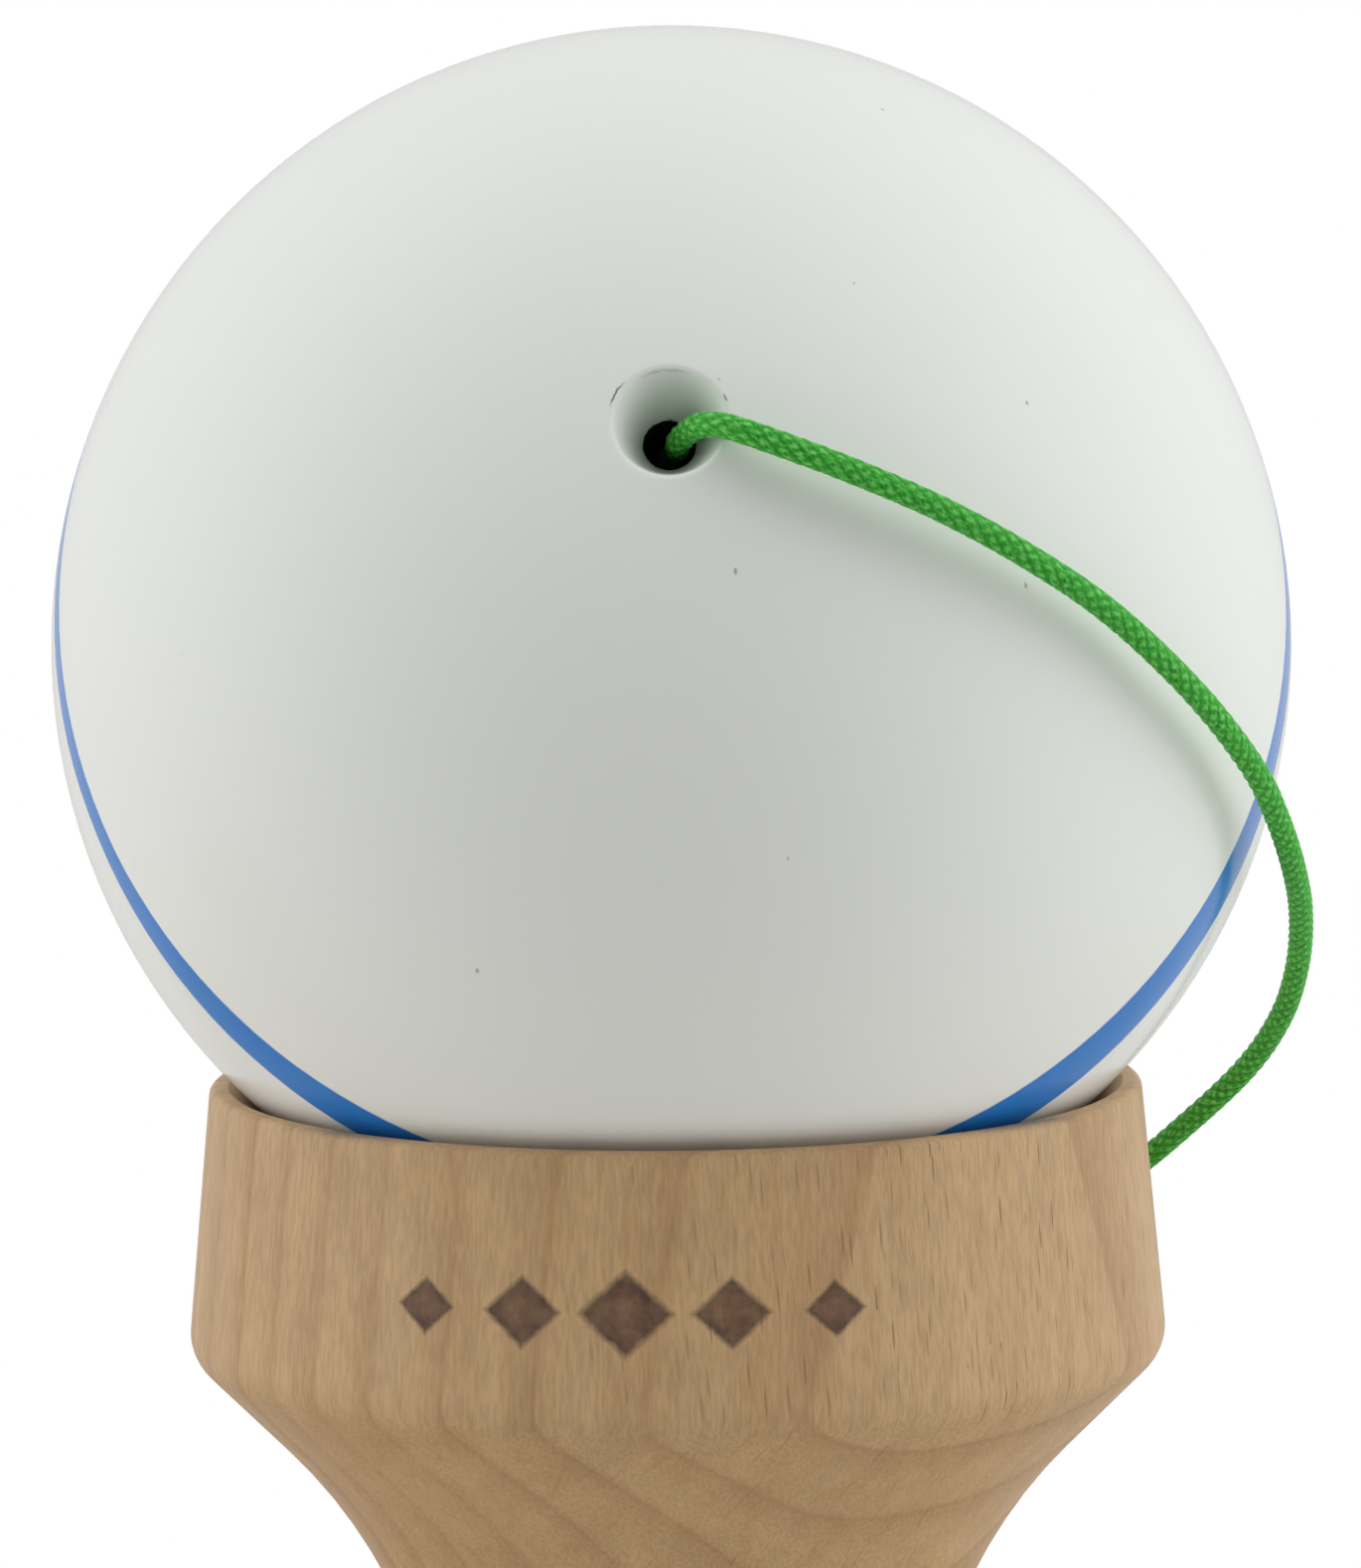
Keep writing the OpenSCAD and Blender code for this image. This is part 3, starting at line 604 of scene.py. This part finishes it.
handle = {
    "corners": [(18.5, -106, 0.4), (19.5, -97.5, 2.2), (8.2, -86.2, 12), (8.2, -71.2, 60), (10.5, -44, 120),
                (8.456, -12.8, 60), (7.944, 12.8, 0), (3.2, 50, 2.5)],
    "flat": 0.9, "rimEdge": 0.15,
    "stringHole": 1.1, "knotPocket": 2.6,       # radii
    "pocketEnd": -3.8, "holeReach": 10,         # how far the bits go
    "seat": (16.3, -105.05), "floor": -98,
    "grainTurn": (20, -90, 0),
}
handleCorners = handle["corners"]
baseRim = (handleCorners[0][0] - handle["flat"], handleCorners[0][1], handle["rimEdge"])
spikeTip = (0, handleCorners[-1][1], 0)
handleOutline = dish(*handle["seat"], handle["floor"])
handleOutline += roundCorners([(*handle["seat"], 0), baseRim] + handleCorners + [spikeTip])[1:]
handlePiece = turnOnLathe("handleSpike", handleOutline, handleMiddle, handleAxis, upAxis)
bitStart = handleMiddle - backAxis * handle["holeReach"] * mm
drill(handlePiece, bitStart, handleMiddle + backAxis * handle["holeReach"] * mm, handle["stringHole"] * mm)
drill(handlePiece, bitStart, handleMiddle + backAxis * handle["pocketEnd"] * mm, handle["knotPocket"] * mm)
smoothOff(handlePiece)
handlePiece.data.materials.clear()
handlePiece.data.materials.append(beechMaterial("turnedBeechHandle", handle["grainTurn"]))
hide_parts("handle")
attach(handlePiece, "root")
print("handle turned:", len(handlePiece.data.polygons), "faces")


# Ball: painted outside, bare in the spike hole, painted black as shade in the string hole

ball = {
    "radius": 30,
    "flareMouth": (2.6, 29.887), "flareFoot": (1.2, 26.887), "lipRounding": 0.4, "lipWidth": 0.45,
    "outsideSteps": 90,
    "seatTop": (1.2, 24.087), "seatFoot": (4.8, 21.924), "chamber": (4.8, 11.772),
    "boreEnd": (10.5, 8.3475), "boreStart": (10.5, -26.424), "mouth": (11.7, -27.624),
    "skin": 0.4,            # mm below the outside from which a face belongs to a hole
    "blackShadeWithin": 2,         # mm from the axis, up to which a hole is painted black as shade
    # the blue line lies between two circles: tilt and turn in degrees, and mm from the ball's middle
    "ring": {"front": (25.9, 1.1, 6.42), "back": (22.6, 2.5, 4.68)},
    "ringLeast": 1.7,       # mm, the line's least width
    # hairline chips in the paint round the string hole: degrees round it, length in degrees, radius, strength
    "chips": [(150, 30, 2.8, 0.9), (95, 60, 2.55, 0.3), (24, 10, 2.8, 0.7), (42, 6, 3.05, 0.4)],
    "bareFoot": 26.93,      # the paint gives out near the foot of the flare, where the bare wood is painted dark as shade in the hole
    "paint": ("#F3F6F2", "#F7F9F6"), "blue": "#2C81D6", "speck": "#55534F", "shadedBareWood": "#3A2C20",
    "outlineShadeTint": "#FCFCFC",
}


def ballOutline():
    # From the lip of the string hole over the outside, and back through the spike hole and the bead's chamber
    outside = []
    first = math.atan2(ball["flareMouth"][0] + ball["lipWidth"], ball["flareMouth"][1])
    last = math.pi - math.asin(ball["mouth"][0] / ball["radius"])
    for k in range(ball["outsideSteps"] + 1):
        angle = first + (last - first) * k / ball["outsideSteps"]
        outside.append(Vector((ball["radius"] * math.sin(angle), ball["radius"] * math.cos(angle))))
    lip = [(*ball["flareFoot"], 0), (*ball["flareMouth"], ball["lipRounding"]), (*outside[2], 0)]
    lip = roundCorners(lip, 8)
    inside = [ball[k] for k in ("boreStart", "boreEnd", "chamber", "seatFoot", "seatTop", "flareFoot")]
    return lip[1:-1] + outside[2:] + [Vector(p) for p in inside] + [lip[1]]


def pastCircle(tree, place, circle, sign):
    # mm past a circle round the ball, in front of it or, with sign -1, behind it
    tilt, aside, reach = circle
    tilt, aside = math.radians(tilt), math.radians(aside)
    axis = Vector((math.sin(aside) * math.cos(tilt), -math.cos(aside) * math.cos(tilt), math.sin(tilt)))
    past = addNode(tree, "VectorMath", {0: place, 1: axis / mm * sign}, operation="DOT_PRODUCT")
    return addNode(tree, "Math", {
        0: past.outputs["Value"], 1: (ballMiddle.dot(axis) / mm + reach) * sign}, operation="SUBTRACT")


def paintMaterial():
    # Sprayed gloss enamel on wood: even off-white, faint orange peel, a masked blue line, stray dust, chips
    material, tree = newMaterial("sprayedGlossEnamel")
    place = addNode(tree, "TexCoord").outputs["Object"]
    # the line's edges wander over 6 mm
    wander = addNode(tree, "TexNoise", {"Vector": place, "Scale": 160, "Detail": 2})
    pastFront = pastCircle(tree, place, ball["ring"]["front"], -1)
    pastBack = pastCircle(tree, place, ball["ring"]["back"], 1)
    least = addNode(tree, "Math", {0: ball["ringLeast"], 1: pastFront.outputs[0]}, operation="SUBTRACT")
    pastBack = addNode(tree, "Math", {0: pastBack.outputs[0], 1: least.outputs[0]}, operation="MAXIMUM")
    edges = []
    for past in (pastFront, pastBack):
        past = addNode(tree, "Math", {
            0: wander.outputs[0], 1: 0.12, 2: past.outputs[0]}, operation="MULTIPLY_ADD")
        edges.append(addNode(tree, "MapRange", {
            "Value": past.outputs[0], "From Min": -0.02, "From Max": 0.12, "To Min": 0, "To Max": 1}))
    blue = addNode(tree, "Math", {0: edges[0].outputs[0], 1: edges[1].outputs[0]}, operation="MULTIPLY")
    # the white has faint clouds 22 mm across
    cloud = addNode(tree, "TexNoise", {"Vector": place, "Scale": 45, "Detail": 2})
    white = addNode(tree, "Mix", {
        0: cloud.outputs[0], 6: linearColour(ball["paint"][0]), 7: linearColour(ball["paint"][1])},
        data_type="RGBA")
    painted = addNode(tree, "Mix", {
        0: blue.outputs[0], 6: white.outputs[2], 7: linearColour(ball["blue"])}, data_type="RGBA")
    # dust in the paint, specks 0.2 mm wide and 0.4 mm long, in cells 3.6 mm apart,
    # of which few have their middle near the surface
    dust = addNode(tree, "TexVoronoi", {"Vector": place, "Scale": 280, "Randomness": 1})
    fromDust = addNode(tree, "VectorMath", {0: place, 1: dust.outputs["Position"]}, operation="SUBTRACT")
    fromDust = addNode(tree, "VectorMath", {
        0: fromDust.outputs[0], 1: (10000, 10000, 5000)}, operation="MULTIPLY")
    fromDust = addNode(tree, "VectorMath", {0: fromDust.outputs[0]}, operation="LENGTH")
    near = addNode(tree, "MapRange", {
        "Value": fromDust.outputs["Value"], "From Min": 0.5, "From Max": 1.05, "To Min": 0.55, "To Max": 0})
    chance = addNode(tree, "SeparateColor", {0: dust.outputs["Color"]})
    kept = addNode(tree, "Math", {0: chance.outputs[0], 1: 0.35}, operation="GREATER_THAN")
    speck = addNode(tree, "Math", {0: near.outputs[0], 1: kept.outputs[0]}, operation="MULTIPLY")

    # round the string hole: how far along its axis, how far out, and the turn about it from the right
    fromMiddle = addNode(tree, "VectorMath", {0: place, 1: ballMiddle}, operation="SUBTRACT")
    aboveAxis = handleAxis.cross(-ballAxis)
    along, right, above = (addNode(tree, "VectorMath", {
        0: fromMiddle.outputs[0], 1: axis / mm}, operation="DOT_PRODUCT").outputs["Value"]
        for axis in (ballAxis, handleAxis, aboveAxis))
    out = addNode(tree, "VectorMath", {
        0: addNode(tree, "CombineXYZ", {0: right, 1: above}).outputs[0]}, operation="LENGTH").outputs["Value"]
    turn = addNode(tree, "Math", {0: above, 1: right}, operation="ARCTAN2").outputs[0]
    # chips and the bare foot of the flare are ragged by 0.4 mm grains
    ragged = addNode(tree, "TexNoise", {"Vector": place, "Scale": 2400, "Detail": 3, "Roughness": 0.7})
    front = addNode(tree, "Math", {0: along, 1: 0}, operation="GREATER_THAN").outputs[0]
    bare = speck.outputs[0]
    for middle, length, radius, strength in ball["chips"]:
        length = math.radians(length)
        aside = addNode(tree, "Math", {0: turn, 1: math.radians(middle)}, operation="SUBTRACT")
        aside = addNode(tree, "Math", {0: aside.outputs[0]}, operation="ABSOLUTE")
        aside = addNode(tree, "MapRange", {
            "Value": aside.outputs[0], "From Min": length * 0.2, "From Max": length / 2,
            "To Min": 1, "To Max": 0})
        across = addNode(tree, "Math", {0: ragged.outputs[0], 1: 0.2, 2: out}, operation="MULTIPLY_ADD")
        across = addNode(tree, "Math", {0: across.outputs[0], 1: radius + 0.1}, operation="SUBTRACT")
        across = addNode(tree, "Math", {0: across.outputs[0]}, operation="ABSOLUTE")
        across = addNode(tree, "MapRange", {
            "Value": across.outputs[0], "From Min": 0.015, "From Max": 0.06, "To Min": strength, "To Max": 0})
        chip = addNode(tree, "Math", {0: aside.outputs[0], 1: across.outputs[0]}, operation="MULTIPLY")
        chip = addNode(tree, "Math", {0: chip.outputs[0], 1: front}, operation="MULTIPLY")
        bare = addNode(tree, "Math", {0: bare, 1: chip.outputs[0]}, operation="MAXIMUM").outputs[0]
    inFlare = addNode(tree, "Math", {0: out, 1: 2.1}, operation="LESS_THAN")
    foot = addNode(tree, "Math", {0: ragged.outputs[0], 1: 0.7, 2: along}, operation="MULTIPLY_ADD")
    foot = addNode(tree, "MapRange", {
        "Value": foot.outputs[0], "From Min": ball["bareFoot"] + 0.25, "From Max": ball["bareFoot"] + 0.4,
        "To Min": 1, "To Max": 0})
    foot = addNode(tree, "Math", {0: foot.outputs[0], 1: inFlare.outputs[0]}, operation="MULTIPLY")
    foot = addNode(tree, "Math", {0: foot.outputs[0], 1: front}, operation="MULTIPLY")
    painted = addNode(tree, "Mix", {
        0: bare, 6: painted.outputs[2], 7: linearColour(ball["speck"])}, data_type="RGBA")
    # the bare foot of the flare is painted dark: partly bare wood, partly painted shade inside the hole
    painted = addNode(tree, "Mix", {
        0: foot.outputs[0], 6: painted.outputs[2], 7: linearColour(ball["shadedBareWood"])}, data_type="RGBA")
    # orange peel, 1.1 mm across
    peel = addNode(tree, "TexNoise", {"Vector": place, "Scale": 900, "Detail": 1})
    height = addNode(tree, "Math", {0: bare, 1: -2, 2: peel.outputs[0]}, operation="MULTIPLY_ADD")
    bump = addNode(tree, "Bump", {"Height": height.outputs[0], "Strength": 0.1, "Distance": 0.02 * mm})
    # the coat is a thin grey film with no gloss of its own, which darkens the ball where it turns away:
    # painted shade along its outline
    surface = addNode(tree, "BsdfPrincipled", {
        "Base Color": painted.outputs[2], "Normal": bump.outputs[0], "Roughness": 0.18, "IOR": 1.5,
        "Specular IOR Level": 0.1,
        "Coat Weight": 1, "Coat IOR": 1.005, "Coat Tint": linearColour(ball["outlineShadeTint"])})
    addNode(tree, "OutputMaterial", {"Surface": surface.outputs[0]})
    return material


def holeShadeMaterial():
    # Beech painted black as shade, in the drilled string hole and on the bead below it: dark, dull
    material, tree = newMaterial("shadedBlackBeech")
    place = addNode(tree, "TexCoord").outputs["Object"]
    holeShade = addNode(tree, "TexNoise", {"Vector": place, "Scale": 1500, "Detail": 2})     # 0.7 mm grains
    colour = addNode(tree, "Mix", {
        0: holeShade.outputs[0], 6: linearColour("#060403"), 7: linearColour("#150D08")}, data_type="RGBA")
    surface = addNode(tree, "BsdfPrincipled", {
        "Base Color": colour.outputs[2], "Roughness": 0.85, "Specular IOR Level": 0.15})
    addNode(tree, "OutputMaterial", {"Surface": surface.outputs[0]})
    return material


ballPiece = turnOnLathe("paintedBall", ballOutline(), ballMiddle, ballAxis, handleAxis)
ballPiece.data.materials.clear()
ballPiece.data.materials.append(paintMaterial())
ballPiece.data.materials.append(beechMaterial("boredBeech", (ballTilt - 90, 0, 0)))
holeShadeBlack = holeShadeMaterial()
ballPiece.data.materials.append(holeShadeBlack)
boreFrom, boreTo = ball["mouth"][1] - 0.01, ball["flareFoot"][1]
# faces of the string hole are painted black as shade; the spike hole stays bare beech
for face in ballPiece.data.polygons:
    fromMiddle = face.center - ballMiddle
    along = fromMiddle.dot(ballAxis) / mm
    radius = (fromMiddle - ballAxis * along * mm).length / mm
    inHole = radius < ball["mouth"][0] and fromMiddle.length / mm < ball["radius"] - ball["skin"]
    if inHole and boreFrom < along < boreTo:
        face.material_index = 1 if radius > ball["blackShadeWithin"] else 2
smoothOff(ballPiece)
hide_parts("ball")
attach(ballPiece, "ball")
print("ball turned:", len(ballPiece.data.polygons), "faces")


# Bead inside the ball, painted black as shade like the hole that it shows through

bead = {"radius": 4, "holeRadius": 0.8, "at": 19.792, "edge": 0.25, "outsideSteps": 24, "turnSteps": 64}
beadReach = math.sqrt(bead["radius"] ** 2 - bead["holeRadius"] ** 2)
beadStart = math.asin((bead["holeRadius"] + bead["edge"]) / bead["radius"])
beadOutline = [Vector((bead["holeRadius"], beadReach - bead["edge"]))]
for k in range(bead["outsideSteps"] + 1):
    angle = beadStart + (math.pi - 2 * beadStart) * k / bead["outsideSteps"]
    beadOutline.append(Vector((bead["radius"] * math.sin(angle), bead["radius"] * math.cos(angle))))
beadOutline += [Vector((bead["holeRadius"], bead["edge"] - beadReach)), beadOutline[0]]
beadMiddle = ballMiddle + ballAxis * bead["at"] * mm
beadPiece = turnOnLathe("beadInBall", beadOutline, beadMiddle, ballAxis, handleAxis, bead["turnSteps"])
beadPiece.data.materials.clear()
beadPiece.data.materials.append(holeShadeBlack)
smoothOff(beadPiece)
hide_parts("bead")
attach(beadPiece, "bead")
print("bead turned")


# Tie: a thin rubber band round both layers of the coil

tie = {"rounding": 0.8 * mm, "thickness": 0.35 * mm, "edge": 0.08 * mm}


def rubberMaterial():
    # Natural rubber, cut from a tube: tan, slightly see-through, powdery
    material, tree = newMaterial("naturalRubberBand")
    place = addNode(tree, "TexCoord").outputs["Object"]
    talc = addNode(tree, "TexNoise", {"Vector": place, "Scale": 2200, "Detail": 3})     # 0.45 mm grains
    colour = addNode(tree, "Mix", {
        0: talc.outputs[0], 6: linearColour("#B98A4E"), 7: linearColour("#D9B27C")}, data_type="RGBA")
    rough = addNode(tree, "MapRange", {"Value": talc.outputs[0], "To Min": 0.45, "To Max": 0.7})
    bump = addNode(tree, "Bump", {"Height": talc.outputs[0], "Strength": 0.2, "Distance": 0.02 * mm})
    surface = addNode(tree, "BsdfPrincipled", {
        "Base Color": colour.outputs[2], "Roughness": rough.outputs[0], "Normal": bump.outputs[0],
        "Subsurface Weight": 0.15, "Subsurface Scale": 0.3 * mm})
    addNode(tree, "OutputMaterial", {"Surface": surface.outputs[0]})
    return material


tieLow, tieHigh = (Vector(corner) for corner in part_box("coil_tie"))
tieSize, tieMiddle = tieHigh - tieLow, (tieLow + tieHigh) / 2
bpy.ops.object.select_all(action="DESELECT")
bpy.ops.mesh.primitive_plane_add(size=1)
tiePiece = bpy.context.active_object
tiePiece.name = tiePiece.data.name = "coilTie"
bpy.ops.object.mode_set(mode="EDIT")
bpy.ops.transform.resize(value=(tieSize.x, tieSize.z, 1))
bpy.ops.mesh.bevel(offset=tie["rounding"], segments=6, affect="VERTICES")
bpy.ops.mesh.delete(type="ONLY_FACE")
bpy.ops.mesh.select_all(action="SELECT")
bpy.ops.mesh.extrude_region_move(TRANSFORM_OT_translate={"value": (0, 0, tieSize.y)})
bpy.ops.mesh.select_all(action="SELECT")
bpy.ops.mesh.normals_make_consistent(inside=False)
bpy.ops.object.mode_set(mode="OBJECT")
tiePiece.rotation_euler = (math.radians(90), 0, 0)
tiePiece.location = (tieMiddle.x, tieHigh.y, tieMiddle.z)
bpy.ops.object.transform_apply(location=True, rotation=True, scale=True)
wall = tiePiece.modifiers.new("wall", "SOLIDIFY")
wall.thickness, wall.offset = tie["thickness"], -1
bpy.ops.object.modifier_apply(modifier=wall.name)
edge = tiePiece.modifiers.new("edge", "BEVEL")
edge.width, edge.segments, edge.limit_method = tie["edge"], 2, "ANGLE"
bpy.ops.object.modifier_apply(modifier=edge.name)
tiePiece.data.materials.clear()
tiePiece.data.materials.append(rubberMaterial())
smoothOff(tiePiece, 40)
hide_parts("coil_tie")
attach(tiePiece, "root")
print("tie made")


# Floor, light

studio = {
    "floor": "#E6E6E2", "floorSize": 0.52,
    "shadowReach": (0.12, 0.21),    # metres from the toy in which the floor fades into white
    "front": 0.32, "sides": 2.65, "back": 0.27,     # the tent's light from each way
    # y of the directions between which one gives way to the next
    "frontToSides": (-0.65, -0.2), "sidesToBack": (0, 0.8),
    # z of the direction that is dimmest, and the share of the light that is left there
    "overhead": (1, 0.45), "underfoot": (-0.35, 0.3),
    "lamp": {"place": (0.8, -0.25, 0.55), "size": 0.53, "power": 0.6},
}


def seenAsWhite(tree):
    # 1 where the camera looks, straight, by a reflection or through something
    path = addNode(tree, "LightPath")
    seen = path.outputs["Is Camera Ray"]
    for kind in ("Is Glossy Ray", "Is Transmission Ray"):
        seen = addNode(tree, "Math", {0: seen, 1: path.outputs[kind]}, operation="MAXIMUM").outputs[0]
    return seen


bpy.ops.object.select_all(action="DESELECT")
bpy.ops.mesh.primitive_plane_add(size=studio["floorSize"])
floor = bpy.context.active_object
floor.name = "floor"
floorMaterial, tree = newMaterial("paleBoard")
place = addNode(tree, "TexCoord").outputs["Object"]
away = addNode(tree, "VectorMath", {0: place}, operation="LENGTH")
fade = addNode(tree, "MapRange", {
    "Value": away.outputs["Value"],
    "From Min": studio["shadowReach"][0], "From Max": studio["shadowReach"][1]},
    interpolation_type="SMOOTHSTEP")
whiteShare = addNode(tree, "Math", {0: fade.outputs[0], 1: seenAsWhite(tree)}, operation="MULTIPLY")
board = addNode(tree, "BsdfDiffuse", {"Color": linearColour(studio["floor"])})
white = addNode(tree, "Emission", {"Color": (1, 1, 1, 1), "Strength": 1})
mixed = addNode(tree, "MixShader", {0: whiteShare.outputs[0], 1: board.outputs[0], 2: white.outputs[0]})
addNode(tree, "OutputMaterial", {"Surface": mixed.outputs[0]})
floor.data.materials.append(floorMaterial)

world = bpy.data.worlds.new("studioTent")
bpy.context.scene.world = world
world.use_nodes = True
tree = world.node_tree
tree.nodes.clear()
direction = addNode(tree, "TexCoord").outputs["Generated"]
direction = addNode(tree, "SeparateXYZ", {0: direction})
sides = addNode(tree, "MapRange", {
    "Value": direction.outputs[1],
    "From Min": studio["frontToSides"][0], "From Max": studio["frontToSides"][1],
    "To Min": studio["front"], "To Max": studio["sides"]}, interpolation_type="SMOOTHSTEP")
back = addNode(tree, "MapRange", {
    "Value": direction.outputs[1],
    "From Min": studio["sidesToBack"][0], "From Max": studio["sidesToBack"][1],
    "To Min": 0, "To Max": studio["back"] - studio["sides"]}, interpolation_type="SMOOTHSTEP")
level = addNode(tree, "Math", {0: sides.outputs[0], 1: back.outputs[0]}, operation="ADD")
for height, share in (studio["overhead"], studio["underfoot"]):
    dim = addNode(tree, "MapRange", {
        "Value": direction.outputs[2], "From Min": 0, "From Max": height, "To Min": 1, "To Max": share})
    level = addNode(tree, "Math", {0: level.outputs[0], 1: dim.outputs[0]}, operation="MULTIPLY")
strength = addNode(tree, "Mix", {0: seenAsWhite(tree), 2: level.outputs[0], 3: 1.0})
sky = addNode(tree, "Background", {"Color": (1, 1, 1, 1), "Strength": strength.outputs[0]})
addNode(tree, "OutputWorld", {"Surface": sky.outputs[0]})

lamp = studio["lamp"]
aim = (ballMiddle - Vector(lamp["place"])).to_track_quat("-Z", "Y").to_euler()
bpy.ops.object.light_add(type="AREA", location=lamp["place"], rotation=aim)
light = bpy.context.active_object
light.name = "softLamp"
light.data.size, light.data.energy = lamp["size"], lamp["power"]
print("stage set")
